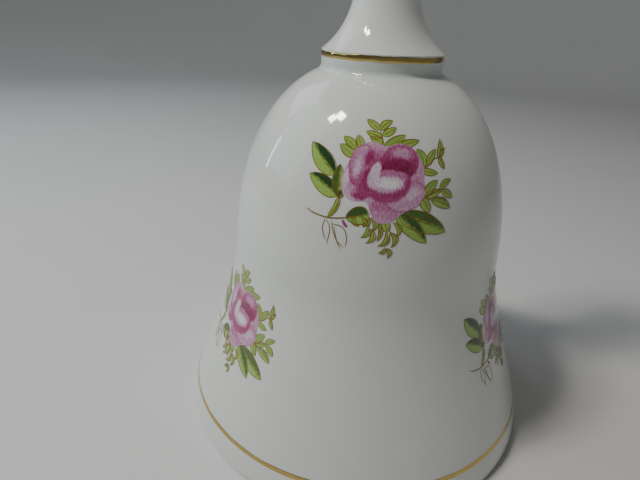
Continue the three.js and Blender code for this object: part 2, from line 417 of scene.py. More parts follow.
# The rose, petal by petal from the back: where it is and its width and height in millimetres, its turn in
# degrees clockwise, its tone at foot and tip from 0, nearly white, to 1, deep crimson, its softness and how
# strongly it is outlined
rosePetals = (
    {"at": (-4.5, -1.1), "size": (2.7, 4.6), "turn": 2, "tones": (0.16, 0.1), "soft": 0.3},
    {"at": (-4.5, -2.5), "size": (2.4, 2.2), "turn": 0, "tones": (0.22, 0.16), "soft": 0.3},
    {"at": (-0.1, -4.6), "size": (4.0, 3.4), "turn": 8, "tones": (0.26, 0.6), "soft": 0.1, "line": 0.55},
    {"at": (-1.9, 2.5), "size": (3.7, 3.8), "turn": 10, "tones": (0.95, 0.18), "soft": 0.25},
    {"at": (3.7, 0.1), "size": (2.7, 4.3), "turn": 8, "tones": (0.42, 0.26), "soft": 0.2, "line": 0.62},
    {"at": (2.7, -2.6), "size": (5.6, 3.8), "turn": -18, "tones": (0.3, 0.42), "soft": 0.06, "line": 0.72},
    {"at": (3.3, -2.2), "size": (4.0, 2.4), "turn": -20, "tones": (0.14, 0.24), "soft": 0.7},
    {"at": (1.7, 1.8), "size": (5.2, 4.9), "turn": 6, "tones": (1.0, 0.5), "soft": 0.12},
    {"at": (1.9, 2.8), "size": (3.6, 2.0), "turn": 8, "tones": (0.5, 0.22), "soft": 0.5},
    {"at": (-3.4, -1.9), "size": (3.5, 3.2), "turn": 20, "tones": (0.78, 0.6), "soft": 0.3, "line": 0.7},
    {"at": (-4.5, -1.9), "size": (2.2, 3.0), "turn": 10, "tones": (0.3, 0.34), "soft": 0.9},
    {"at": (-3.4, 1.2), "size": (3.0, 5.5), "turn": 14, "tones": (0.6, 0.3), "soft": 0.06, "line": 0.8},
    {"at": (-3.8, 0.9), "size": (1.5, 4.3), "turn": 14, "tones": (0.14, 0.2), "soft": 0.8},
    {"at": (-2.3, 2.1), "size": (1.5, 3.2), "turn": 14, "tones": (0.75, 0.8), "soft": 0.7},
    {"at": (0.0, -0.9), "size": (6.9, 5.4), "turn": 0, "tones": (0.7, 0.86), "soft": 0.15},
    {"at": (1.2, 0.95), "size": (5.0, 3.1), "turn": -4, "tones": (0.96, 0.88), "soft": 0.35},
    {"at": (0.7, -0.1), "size": (4.7, 1.9), "turn": 2, "tones": (0.5, 0.46), "soft": 0.2},
    {"at": (-1.6, 0.1), "size": (1.6, 4.0), "turn": 20, "tones": (0.2, 0.1), "soft": 0.3},
    {"at": (-1.6, -0.9), "size": (1.9, 2.0), "turn": 30, "tones": (0.3, 0.12), "soft": 0.4},
    {"at": (0.2, -1.15), "size": (5.2, 2.5), "turn": -4, "tones": (0.34, 0.06), "soft": 0.3},
    {"at": (0.5, -1.05), "size": (4.2, 1.7), "turn": -3, "tones": (-0.1, 0.0), "soft": 0.8},
)


def rosePrint():
    material, tree, shader = newMaterial("rosePrint")
    look = {
        "inks": ((0.0, "#F3ECF2"), (0.25, "#D8ACCB"), (0.5, "#BE6A9B"), (0.75, "#A8366C"), (1.0, "#7C1A42")),
        "ground": 0.3,
        "strayed": (0.35, 0.8, 0.0),
        "strokeDepth": 0.16,
        "outline": (0.86, 0.97),
    }
    flat = addNode(tree, "ShaderNodeAttribute", attribute_name="flat").outputs["Vector"]
    hatched = addNode(tree, "ShaderNodeMapping", {0: flat, 3: (4.0, 1.2, 1.0)}).outputs[0]
    hatch = addNode(tree, "ShaderNodeTexNoise", {"Vector": hatched, "Scale": 1.3, "Detail": 3.0})
    middle = {0: hatch.outputs["Color"], 1: (0.5, 0.5, 0.5)}
    stray = addNode(tree, "ShaderNodeVectorMath", middle, operation="SUBTRACT").outputs[0]
    scaled = {0: stray, 1: look["strayed"]}
    stray = addNode(tree, "ShaderNodeVectorMath", scaled, operation="MULTIPLY").outputs[0]
    brushed = addNode(tree, "ShaderNodeVectorMath", {0: flat, 1: stray}, operation="ADD").outputs[0]
    tone = look["ground"]
    for shape in rosePetals:
        width, height = shape["size"]
        turned = (0, 0, -math.radians(shape["turn"]))
        placed = {0: brushed, 1: (*shape["at"], 0), 2: turned, 3: (width / 2, height / 2, 1)}
        local = addNode(tree, "ShaderNodeMapping", placed, vector_type="TEXTURE").outputs[0]
        out = addNode(tree, "ShaderNodeVectorMath", {0: local}, operation="LENGTH").outputs["Value"]
        fade = {0: out, 1: 1 - shape["soft"], 2: 1.02, 3: 1, 4: 0}
        inside = addNode(tree, "ShaderNodeMapRange", fade, interpolation_type="SMOOTHSTEP")
        up = addNode(tree, "ShaderNodeSeparateXYZ", {0: local}).outputs["Y"]
        foot, tip = shape["tones"]
        own = addNode(tree, "ShaderNodeMapRange", {0: up, 1: -1, 2: 1, 3: foot, 4: tip}).outputs[0]
        if "line" in shape:
            lineStart, lineFull = look["outline"]
            rim = addNode(
                tree, "ShaderNodeMapRange", {0: out, 1: lineStart, 2: lineFull, 3: 0, 4: shape["line"]}
            )
            own = addNode(tree, "ShaderNodeMath", {0: own, 1: rim.outputs[0]}, operation="MAXIMUM").outputs[0]
        tone = addNode(tree, "ShaderNodeMix", {0: inside.outputs[0], 2: tone, 3: own}).outputs[0]
    speckled = {"Vector": flat, "Scale": 3.2, "Detail": 4.0, "Roughness": 0.7}
    stipple = addNode(tree, "ShaderNodeTexNoise", speckled)
    strokes = addNode(tree, "ShaderNodeMath", {0: hatch.outputs[0], 1: stipple.outputs[0]}, operation="ADD")
    depth = look["strokeDepth"]
    shaded = {0: strokes.outputs[0], 1: 0.7, 2: 1.3, 3: -depth, 4: depth}
    strokes = addNode(tree, "ShaderNodeMapRange", shaded)
    shade = addNode(tree, "ShaderNodeMath", {0: tone, 1: strokes.outputs[0]}, operation="ADD")
    ramp = addNode(tree, "ShaderNodeValToRGB", {0: shade.outputs[0]})
    inks = look["inks"]
    ramp.color_ramp.elements[0].color = linear(inks[0][1])
    ramp.color_ramp.elements[1].color = linear(inks[-1][1])
    for position, ink in inks[1:-1]:
        ramp.color_ramp.elements.new(position).color = linear(ink)
    finishPrint(tree, shader, ramp.outputs[0], strokes.outputs[0])
    return material


def leafPrint():
    material, tree, shader = newMaterial("leafPrint")
    look = {
        "light": ("#86B040", "#B6D876"),
        "dark": "#2A4C22",
        "edge": "#5C6B22",
        "ragged": 0.6,
        "shadeWidth": 0.4,
    }
    ragged = look["ragged"]
    flat = addNode(tree, "ShaderNodeAttribute", attribute_name="flat").outputs["Vector"]
    side = addNode(tree, "ShaderNodeAttribute", attribute_name="side").outputs["Fac"]
    edge = addNode(tree, "ShaderNodeAttribute", attribute_name="edge").outputs["Fac"]
    tone = addNode(tree, "ShaderNodeAttribute", attribute_name="tone").outputs["Fac"]
    stipple = addNode(tree, "ShaderNodeTexNoise", {"Vector": flat, "Scale": 2.6, "Detail": 4.0})
    shifted = addNode(tree, "ShaderNodeMapRange", {0: stipple.outputs[0], 3: -ragged, 4: ragged})
    across = addNode(tree, "ShaderNodeMath", {0: side, 1: shifted.outputs[0]}, operation="ADD")
    shaded = addNode(tree, "ShaderNodeMapRange", {0: across.outputs[0], 1: 0.0, 2: look["shadeWidth"]})
    dark = addNode(tree, "ShaderNodeMath", {0: shaded.outputs[0], 1: tone}, operation="MULTIPLY")
    light = addNode(
        tree,
        "ShaderNodeMix",
        {0: stipple.outputs[0], 6: linear(look["light"][0]), 7: linear(look["light"][1])},
        data_type="RGBA",
    )
    green = addNode(
        tree,
        "ShaderNodeMix",
        {0: dark.outputs[0], 6: light.outputs[2], 7: linear(look["dark"])},
        data_type="RGBA",
    )
    worn = addNode(tree, "ShaderNodeMapRange", {0: edge, 1: 0.0, 2: 0.1, 3: 0.4, 4: 0.0})
    colour = addNode(
        tree,
        "ShaderNodeMix",
        {0: worn.outputs[0], 6: green.outputs[2], 7: linear(look["edge"])},
        data_type="RGBA",
    )
    finishPrint(tree, shader, colour.outputs[2], stipple.outputs[0])
    return material


def linePrint():
    material, tree, shader = newMaterial("linePrint")
    look = {"brown": "#785818", "olive": "#9C8230", "bud": "#A34F8C"}
    flat = addNode(tree, "ShaderNodeAttribute", attribute_name="flat").outputs["Vector"]
    tone = addNode(tree, "ShaderNodeAttribute", attribute_name="tone").outputs["Fac"]
    stipple = addNode(tree, "ShaderNodeTexNoise", {"Vector": flat, "Scale": 2.0, "Detail": 3.0})
    olive = addNode(
        tree,
        "ShaderNodeMix",
        {0: stipple.outputs[0], 6: linear(look["brown"]), 7: linear(look["olive"])},
        data_type="RGBA",
    )
    colour = addNode(
        tree,
        "ShaderNodeMix",
        {0: tone, 6: olive.outputs[2], 7: linear(look["bud"])},
        data_type="RGBA",
    )
    finishPrint(tree, shader, colour.outputs[2], stipple.outputs[0])
    return material


print("materials")
porcelain = glazedPorcelain()
bisque = groundBisque()
gold = brightGold()
brass = drawnBrass()
cement = plasterCement()
roseInk = rosePrint()
leafInk = leafPrint()
lineInk = linePrint()


# Slip-cast bell: glazed outside and in, bare only on the ground foot ring
def bellBody():
    s = bellShape
    outside = bodyOutside()
    rounding = s["footRounding"]
    outerFoot = arc(Vector((s["rimRadius"] - rounding, rounding)), rounding, -90, 0, 6)
    inner = s["rimRadius"] - s["wall"]
    innerFoot = arc(Vector((inner + rounding, rounding)), rounding, 180, 270, 6)
    wallTop = Vector((s["collarRadius"] - s["wall"], s["seam"]))
    inside = [p for p in offsetOutline(outside, s["wall"]) if rounding < p.y < s["seam"] - s["seamStep"]]
    profile = outerFoot[:-1] + outside + (inside + [wallTop])[::-1] + innerFoot
    bm = bmesh.new()
    spinProfile(bm, profile, s["spinSteps"], closed=True)
    piece = finishMesh(bm, "bellBody", porcelain, "bell", ["bell_body"])
    piece.data.materials.append(bisque)
    for face in piece.data.polygons:
        if face.center.z < s["groundDepth"] * mm:
            face.material_index = 1
            face.use_smooth = False
    return piece


def handleStem():
    s = handleShape
    outside = handleOutside()
    lowest = bellShape["seam"] + bellShape["seamStep"]
    inside = [p for p in offsetOutline(outside, bellShape["wall"]) if lowest < p.y < s["hollowTop"]]
    mouth = Vector((bellShape["collarRadius"] - bellShape["wall"], bellShape["seam"]))
    share, rise, tipRise = s["hollowShoulder"]
    hollowEnd = [
        Vector((0, s["hollowTop"] + tipRise)),
        Vector((inside[-1].x * share, s["hollowTop"] + rise)),
    ]
    outside[-1].x = 0
    bm = bmesh.new()
    spinProfile(bm, hollowEnd + inside[::-1] + [mouth] + outside, s["spinSteps"])
    return finishMesh(bm, "handleStem", porcelain, "bell", ["handle"])


print("bell body and handle")
bellBody()
handleStem()

# Outside of body and handle together, with the distance along it from the rim
surfaceLine = bodyOutside() + handleOutside()[1:]
surfaceRun = [0.0]
for before, after in zip(surfaceLine, surfaceLine[1:]):
    surfaceRun.append(surfaceRun[-1] + (after - before).length)


def onSurface(run, lift):
    i = min(max(bisect.bisect(surfaceRun, run) - 1, 0), len(surfaceLine) - 2)
    t = (run - surfaceRun[i]) / (surfaceRun[i + 1] - surfaceRun[i])
    directions = []
    for j in (i, i + 1):
        before = surfaceLine[max(j - 1, 0)]
        after = surfaceLine[min(j + 1, len(surfaceLine) - 1)]
        directions.append((after - before).normalized())
    along = directions[0].lerp(directions[1], t).normalized()
    return surfaceLine[i].lerp(surfaceLine[i + 1], t) + lift * Vector((along.y, -along.x))


def runAtHeight(height):
    for i, point in enumerate(surfaceLine[1:]):
        if point.y >= height:
            start = surfaceLine[i]
            share = (height - start.y) / (point.y - start.y)
            return surfaceRun[i] + share * (surfaceRun[i + 1] - surfaceRun[i])


# Gold lines painted on a turning wheel, so their edges waver a little
goldLines = {
    "rimGilding": {"height": 5.0, "width": 0.78, "thickness": 0.04, "waver": 0.05},
    "neckGilding": {"height": 62.8, "width": 0.8, "thickness": 0.08, "waver": 0.05},
    "knobGilding": {"height": 108.4, "width": 0.6, "thickness": 0.04, "waver": 0.04},
}
goldEdge = {"lift": 0.005, "sunk": 0.05}


def goldLine(name, height, width, thickness, waver):
    middle = runAtHeight(height)
    across = [-0.5 + i / 10 for i in range(11)]
    crown = [thickness * math.sqrt(max(0, 1 - (2 * a) ** 2)) + goldEdge["lift"] for a in across]
    top = [onSurface(middle + width * a, lift) for a, lift in zip(across, crown)]
    bottom = [onSurface(middle + width * a, -goldEdge["sunk"]) for a in across]
    bm = bmesh.new()
    spinProfile(bm, top + bottom[::-1], 256, closed=True)
    for vert in bm.verts:
        angle = math.atan2(vert.co.y, vert.co.x)
        swing = math.sin(3 * angle + height) + 0.6 * math.sin(11 * angle + 2) + 0.5 * math.sin(29 * angle)
        squeeze = (vert.co.z - height) / width * 2
        vert.co.z += waver * 0.5 * swing * (0.4 + abs(squeeze)) * (1 if squeeze > 0 else 0.7)
    return finishMesh(bm, name, gold, "bell")


print("gold lines")
for name, line in goldLines.items():
    goldLine(name, **line)


# Cement plug poured round the staple's legs: a wiped hollow face with a meniscus up the wall
def crownCement():
    bottom, top = (corner.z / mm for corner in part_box("crown_cement"))
    throat = bellShape["collarRadius"] - bellShape["wall"] - 0.02
    face = {
        "wiped": ((0, 0.35), (1.2, 0.25), (2.6, 0.3), (4.0, 0.5), (5.2, 0.6), (6.1, 0.4)),
        "meniscus": ((throat - 0.1, 0.2), (throat, 0.6)),
        "depth": 0.65,
        "rough": 0.12,
    }
    profile = [Vector((radius, bottom + rise)) for radius, rise in face["wiped"] + face["meniscus"]]
    profile += [Vector((throat, top - 2.5)), Vector((throat - 2.0, top)), Vector((0, top))]
    bm = bmesh.new()
    spinProfile(bm, profile, 64)
    bmesh.ops.remove_doubles(bm, verts=bm.verts, dist=1e-4)
    lower = [e for e in bm.edges if max(v.co.z for v in e.verts) < bottom + face["depth"]]
    bmesh.ops.subdivide_edges(bm, edges=lower, cuts=1, use_grid_fill=True)
    for vert in bm.verts:
        if vert.co.z < bottom + face["depth"] and vert.co.xy.length < throat - 0.05:
            vert.co.z += face["rough"] * (noise.noise(vert.co * 0.9) + 0.4 * noise.noise(vert.co * 3.1))
            vert.co.z = max(vert.co.z, bottom)
    return finishMesh(bm, "crownCement", cement, "bell", ["crown_cement"])


# Wire parts: a circle of the wire's section is pushed straight or spun round a bend
def wireStart(bm, radius, at, axis, sides=20):
    turned = Vector((0, 0, 1)).rotation_difference(Vector(axis)).to_matrix().to_4x4()
    made = bmesh.ops.create_circle(bm, segments=sides, radius=radius, matrix=Matrix.Translation(at) @ turned)
    return {e for v in made["verts"] for e in v.link_edges}


def wireStraight(bm, ring, step, scale=1.0):
    made = bmesh.ops.extrude_edge_only(bm, edges=list(ring))["geom"]
    verts = [v for v in made if isinstance(v, bmesh.types.BMVert)]
    bmesh.ops.translate(bm, vec=Vector(step), verts=verts)
    centre = sum((v.co for v in verts), Vector()) / len(verts)
    bmesh.ops.scale(bm, vec=(scale,) * 3, verts=verts, space=Matrix.Translation(-centre))
    inNew = set(verts)
    return {e for e in made if isinstance(e, bmesh.types.BMEdge) and set(e.verts) <= inNew}


def wireBend(bm, ring, centre, axis, degrees, steps):
    geometry = list(ring) + list({v for e in ring for v in e.verts})
    made = bmesh.ops.spin(
        bm, geom=geometry, cent=centre, axis=axis, angle=math.radians(degrees), steps=steps, use_merge=False
    )
    return {e for e in made["geom_last"] if isinstance(e, bmesh.types.BMEdge)}


wire = {
    "radius": 0.5,
    "bendSteps": 20,
    "jointWidth": 0.05,
    "jointDepth": 0.9,
    "endStep": 0.06,
    "endScales": (0.94, 0.75),
}


def wireEnd(bm, ring, outward):
    for scale in wire["endScales"]:
        ring = wireStraight(bm, ring, Vector(outward) * wire["endStep"], scale)
    bmesh.ops.holes_fill(bm, edges=list(ring), sides=0)


def stapleWire():
    low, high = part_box("staple")
    bend = (high.x - low.x) / 2 / mm - wire["radius"]
    bendCentre = low.z / mm + wire["radius"] + bend
    top = high.z / mm
    bm = bmesh.new()
    ring = wireStart(bm, wire["radius"], (-bend, 0, top), (0, 0, 1))
    wireEnd(bm, ring, (0, 0, 1))
    ring = wireStraight(bm, ring, (0, 0, bendCentre - top))
    ring = wireBend(bm, ring, (0, 0, bendCentre), (0, -1, 0), 180, wire["bendSteps"])
    ring = wireStraight(bm, ring, (0, 0, top - bendCentre))
    wireEnd(bm, ring, (0, 0, 1))
    return finishMesh(bm, "stapleWire", brass, "bell", ["staple"])


def chainLink(number):
    node = f"chain_link_{number}"
    low, high = (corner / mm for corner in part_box(node))
    centre = (low + high) / 2
    across = Vector((1, 0, 0)) if high.x - low.x > high.y - low.y else Vector((0, 1, 0))
    radius = max(high.x - low.x, high.y - low.y) / 2 - wire["radius"]
    stretch = (high.z - low.z) / 2 - wire["radius"] - radius
    side = 1 if number % 4 < 2 else -1
    bendAxis = across.cross(Vector((0, 0, 1))) * side
    up = Vector((0, 0, 1))
    bm = bmesh.new()
    ring = wireStart(bm, wire["radius"], centre + across * radius * side - up * stretch, up)
    joint = wire["jointWidth"]
    for step, scale in (
        (stretch - 3 * joint, 1),
        (2 * joint, 1),
        (joint, wire["jointDepth"]),
        (joint, 1 / wire["jointDepth"]),
        (2 * joint, 1),
        (stretch - 3 * joint, 1),
    ):
        ring = wireStraight(bm, ring, up * step, scale)
    ring = wireBend(bm, ring, centre + up * stretch, bendAxis, 180, wire["bendSteps"])
    ring = wireStraight(bm, ring, -up * 2 * stretch)
    wireBend(bm, ring, centre - up * stretch, bendAxis, 180, wire["bendSteps"])
    return finishMesh(bm, f"chainLink{number}", brass, node, [node])


# Pin bent from one length of wire: an eye, its shank through the ball, and a flattened head
def clapperPin():
    low, high = (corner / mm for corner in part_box("clapper_pin"))
    eye = (high.y - low.y) / 2 - wire["radius"]
    eyeCentre = high.z - wire["radius"] - eye
    head = {"radius": 1.3, "taper": 0.75, "thickness": 0.7, "rounding": 0.12}
    eyeTurn = 338  # degrees, so the eye's cut end shows beside the shank
    bm = bmesh.new()
    ring = wireStart(bm, wire["radius"], (0, 0, low.z + head["thickness"] / 2), (0, 0, 1))
    wireEnd(bm, ring, (0, 0, -1))
    ring = wireStraight(bm, ring, (0, 0, eyeCentre - eye - low.z - head["thickness"] / 2))
    wireEnd(bm, ring, (0, 0, 1))
    ring = wireStart(bm, wire["radius"], (0, 0, eyeCentre - eye), (0, 1, 0))
    wireEnd(bm, ring, (0, -1, 0))
    ring = wireBend(bm, ring, (0, 0, eyeCentre), (1, 0, 0), eyeTurn, 2 * wire["bendSteps"])
    wireEnd(bm, ring, (0, math.cos(math.radians(eyeTurn)), math.sin(math.radians(eyeTurn))))
    flat = head["radius"] * head["taper"]
    profile = [
        Vector((0, low.z)),
        Vector((flat - head["rounding"], low.z)),
        Vector((flat, low.z + head["rounding"])),
        Vector((head["radius"], low.z + head["thickness"] - head["rounding"])),
        Vector((head["radius"] - head["rounding"], low.z + head["thickness"])),
        Vector((0, low.z + head["thickness"])),
    ]
    spinProfile(bm, profile, 32)
    return finishMesh(bm, "clapperPin", brass, "clapper_pin", ["clapper_pin"])


def clapperBall():
    low, high = (corner / mm for corner in ballBox)
    radius = (high.x - low.x) / 2
    centre = Vector((0, (low.z + high.z) / 2))
    bore = {"radius": 0.6, "edge": 0.25, "depth": 0.22, "flare": 0.07, "flareDepth": 0.06}
    start = math.degrees(math.asin((bore["radius"] + bore["edge"]) / radius))
    profile = arc(centre, radius, start - 90, 90 - start, 40)
    lowest, highest = profile[0].y, profile[-1].y
    flared = bore["radius"] + bore["flare"]
    bottomEdge = [
        Vector((bore["radius"], lowest + bore["depth"])),
        Vector((flared, lowest + bore["flareDepth"])),
    ]
    topEdge = [
        Vector((flared, highest - bore["flareDepth"])),
        Vector((bore["radius"], highest - bore["depth"])),
    ]
    bm = bmesh.new()
    spinProfile(bm, bottomEdge + profile + topEdge, 72, closed=True)
    return finishMesh(bm, "clapperBall", porcelain, "clapper_ball", ["clapper_ball"])


print("crown, chain and clapper")
crownCement()
stapleWire()
for number in range(1, 7):
    chainLink(number)
clapperPin()
clapperBall()


# Transfer prints. A shape is drawn flat, in millimetres round the rose's middle, and then laid on the glaze
# as a thin closed skin: its underside is sunk in the glaze and each later shape lies a layer higher. The rose
# lies over its leaves and their outlines.
printSkin = {"sunk": 0.012, "lowest": 0.012, "layer": 0.003, "leafLayers": 4, "lineLayers": 3, "roseLayer": 9}
printFacts = ("edge", "tone", "side")


def newPrint():
    bm = bmesh.new()
    bm.verts.layers.float_vector.new("flat")
    for name in printFacts:
        bm.verts.layers.float.new(name)
    return bm


def printShape(bm, columns, rows, layer, draw):
    made = bmesh.ops.create_grid(bm, x_segments=columns, y_segments=rows, size=1)["verts"]
    flat = bm.verts.layers.float_vector["flat"]
    layers = {name: bm.verts.layers.float[name] for name in printFacts}
    for vert in made:
        point, facts = draw(max(-1, min(1, vert.co.x)), max(-1, min(1, vert.co.y)))
        vert.co = (point.x, point.y, -printSkin["sunk"])
        vert[flat] = (point.x, point.y, 0)
        for name in printFacts:
            vert[layers[name]] = facts.get(name, 0.0)
    faces = list({face for vert in made for face in vert.link_faces})
    top = bmesh.ops.extrude_face_region(bm, geom=faces, use_keep_orig=True)["geom"]
    for vert in top:
        if isinstance(vert, bmesh.types.BMVert):
            vert.co.z = printSkin["lowest"] + layer * printSkin["layer"]


# Distance from the rose's middle to the outline of all its petals together
def roseReach(angle):
    ray = Vector((math.cos(angle), math.sin(angle)))
    reach = 0.0
    for shape in rosePetals:
        turn = Matrix.Rotation(math.radians(shape["turn"]), 2)
        half = Vector(shape["size"]) / 2
        start, along = turn @ -Vector(shape["at"]), turn @ ray
        start, along = (Vector((v.x / half.x, v.y / half.y)) for v in (start, along))
        a, b, c = along.dot(along), start.dot(along), start.dot(start) - 1
        if b * b > a * c:
            reach = max(reach, (-b + math.sqrt(b * b - a * c)) / a)
    return reach


def petals(bm, layer):
    def draw(x, y):
        across, up = x * math.sqrt(1 - y * y / 2), y * math.sqrt(1 - x * x / 2)
        out = math.hypot(across, up)
        angle = math.atan2(up, across)
        nearby = [angle + math.radians(swing) for swing in range(-10, 11, 4)]
        reach = sum(roseReach(a) for a in nearby) / len(nearby)  # rounds the notches between petals
        return Vector((across, up)) * reach, {"edge": (1 - out) * reach}

    printShape(bm, 48, 48, layer, draw)


# A point of a leaf, from -1 to 1 along its midrib and from -1 to 1 across it
def leafPoint(x, y, base, tip, width, bend=0.0, full=0.75, **shading):
    start, along = Vector(base), Vector(tip) - Vector(base)
    across = Vector((-along.y, along.x)).normalized()
    hump = max(1 - x * x, 0)
    half = width / 2 * hump ** full * (1.1 - 0.2 * x)
    point = start + along * (x + 1) / 2 + across * (y * half + bend * along.length * hump)
    return point, half


def leaf(bm, layer, dark=0.0, darkSide=1, filled=0.0, **shape):
    def draw(x, y):
        point, half = leafPoint(x, y, **shape)
        return point, {"edge": (1 - abs(y)) * half, "tone": dark, "side": y * half * darkSide + filled}

    large = shape["width"] > 1.3
    printShape(bm, 14 if large else 8, 6 if large else 4, layer, draw)


def leafLines(bm, layer, **shape):
    slipped = Vector(outlineSlip)
    steps = [-1 + i / 4 for i in range(9)]
    for y in (-1, 0, 1):
        reach = veinReach if y == 0 else 1
        line = [leafPoint(x * reach, y, **shape)[0] + slipped for x in steps]
        stroke(bm, layer + (y + 1), line, veinWidth if y == 0 else outlineWidth)


def smoothLine(points, steps):
    ends = [points[0] * 2 - points[1]] + points + [points[-1] * 2 - points[-2]]
    line = []
    for a, b, c, d in zip(ends, ends[1:], ends[2:], ends[3:]):
        line += bezier(b, b + (c - a) / 6, c - (d - b) / 6, c, steps)[:-1]
    return line + [points[-1]]


def stroke(bm, layer, points, width, tone=0.0):
    line = smoothLine([Vector(p) for p in points], 2 if len(points) > 6 else 5)

    def draw(x, y):
        position = (x + 1) / 2 * (len(line) - 1)
        i = min(int(position), len(line) - 2)
        along = (line[i + 1] - line[i]).normalized()
        half = width / 2 * (0.35 + 0.65 * (1 - x * x) ** 0.5)
        point = line[i].lerp(line[i + 1], position - i) + Vector((-along.y, along.x)) * y * half
        return point, {"edge": (1 - abs(y)) * half, "tone": tone, "side": y * half}

    printShape(bm, len(line) - 1, 2, layer, draw)


# Leaves and leaflets: base, tip and width in millimetres, how dark the shaded half is, which half that is,
# how far the shade fills the other half in millimetres, and the bow of the midrib
sprayLeaves = (
    {"base": (-6.8, -0.6), "tip": (-10.4, 3.3), "width": 2.5, "dark": 1.0, "darkSide": -1, "bend": 0.02},
    {"base": (-6.3, -3.2), "tip": (-10.5, -0.9), "width": 2.2, "dark": 1.0, "darkSide": -1, "bend": -0.02},
    {"base": (-6.3, -3.3), "tip": (-6.1, 1.0), "width": 1.4, "dark": 0.85, "filled": 0.5, "bend": 0.04},
    {"base": (-6.2, -3.5), "tip": (-5.6, -2.3), "width": 0.7, "dark": 1.0, "filled": 0.5},
    {"base": (-2.0, -5.0), "tip": (-5.0, -5.9), "width": 2.1, "dark": 0.9, "darkSide": -1, "filled": 0.3,
     "full": 0.6},
    {"base": (1.7, -5.0), "tip": (8.8, -7.6), "width": 2.4, "dark": 0.8, "bend": 0.03, "full": 0.7},
    {"base": (1.5, -4.9), "tip": (6.0, -8.9), "width": 2.0, "dark": 0.9, "bend": 0.02},
    {"base": (-1.2, 6.0), "tip": (-2.8, 7.4), "width": 0.9},
    {"base": (-1.1, 5.9), "tip": (0.5, 7.4), "width": 0.9, "bend": 0.12},
    {"base": (-0.8, 5.2), "tip": (1.0, 6.4), "width": 0.9},
    {"base": (-0.8, 5.1), "tip": (-2.9, 5.7), "width": 0.9, "bend": 0.05},
    {"base": (-0.6, 4.2), "tip": (-2.4, 4.9), "width": 0.9},
    {"base": (-0.6, 3.4), "tip": (2.2, 5.4), "width": 1.3, "dark": 0.3},
    {"base": (1.0, 4.1), "tip": (4.1, 4.7), "width": 1.0, "dark": 0.3, "bend": -0.04},
    {"base": (-4.0, 3.2), "tip": (-5.8, 4.7), "width": 1.1, "dark": 0.3},
    {"base": (-3.5, 3.2), "tip": (-3.9, 5.1), "width": 1.0, "dark": 0.2},
    {"base": (-4.4, 2.1), "tip": (-6.3, 3.6), "width": 1.2, "dark": 0.2},
    {"base": (4.7, 0.9), "tip": (3.8, 3.6), "width": 1.1, "dark": 0.5, "bend": -0.12},
    {"base": (5.4, 1.3), "tip": (6.5, 3.5), "width": 0.9, "bend": 0.08},
    {"base": (4.6, 0.9), "tip": (6.9, 0.3), "width": 0.8, "bend": -0.06},
    {"base": (6.8, 2.3), "tip": (7.1, 4.8), "width": 0.7, "dark": 0.4, "bend": -0.1},
    {"base": (7.3, 2.3), "tip": (7.9, 3.6), "width": 0.5, "bend": 0.1},
    {"base": (7.0, 2.3), "tip": (7.9, 0.8), "width": 0.6, "dark": 0.3},
    {"base": (5.2, -2.5), "tip": (6.9, -0.6), "width": 1.1, "dark": 0.25, "bend": 0.06},
    {"base": (5.3, -2.7), "tip": (7.6, -1.9), "width": 0.9},
    {"base": (4.9, -2.7), "tip": (6.1, -4.7), "width": 1.2, "dark": 0.3, "bend": -0.05},
    {"base": (7.3, -1.8), "tip": (9.0, -0.6), "width": 0.8, "bend": 0.08},
    {"base": (7.6, -2.0), "tip": (9.4, -3.1), "width": 0.9, "dark": 0.2, "bend": 0.05},
    {"base": (6.2, -3.1), "tip": (9.2, -4.4), "width": 1.2, "dark": 0.5, "bend": 0.05},
    {"base": (-3.9, -5.5), "tip": (-3.2, -6.8), "width": 0.5, "bend": -0.3},
    {"base": (-3.0, -5.5), "tip": (-2.7, -6.9), "width": 0.5, "bend": 0.3},
    {"base": (-2.0, -5.5), "tip": (-2.9, -6.6), "width": 0.5, "bend": 0.3},
    {"base": (-1.8, -5.5), "tip": (-1.5, -7.4), "width": 0.6, "bend": 0.3},
    {"base": (-2.1, -6.6), "tip": (-2.9, -8.3), "width": 0.6, "bend": 0.25},
    {"base": (-1.6, -7.0), "tip": (-2.2, -9.0), "width": 0.65, "bend": 0.3},
    {"base": (0.0, -5.9), "tip": (0.5, -7.3), "width": 1.1},
    {"base": (0.4, -7.2), "tip": (-0.6, -9.3), "width": 0.7, "bend": 0.28},
    {"base": (-0.6, -6.2), "tip": (-0.7, -8.6), "width": 0.5, "bend": 0.12},
    {"base": (0.9, -7.3), "tip": (1.2, -9.4), "width": 0.65, "bend": 0.3},
    {"base": (1.2, -6.0), "tip": (1.8, -8.0), "width": 0.65, "bend": 0.3},
    {"base": (0.4, -9.5), "tip": (-0.4, -10.2), "width": 0.5, "bend": 0.25},
    {"base": (0.5, -9.5), "tip": (0.8, -10.9), "width": 0.55, "bend": 0.3},
    {"base": (-6.1, -3.3), "tip": (-7.5, -6.1), "width": 0.6, "bend": 0.08, "full": 0.3},
)

# The brown outlines were printed after the greens, and sit a little off them, in millimetres
outlineSlip = (0.1, 0.02)
outlineWidth = 0.12
veinWidth = 0.09
veinReach = 0.8

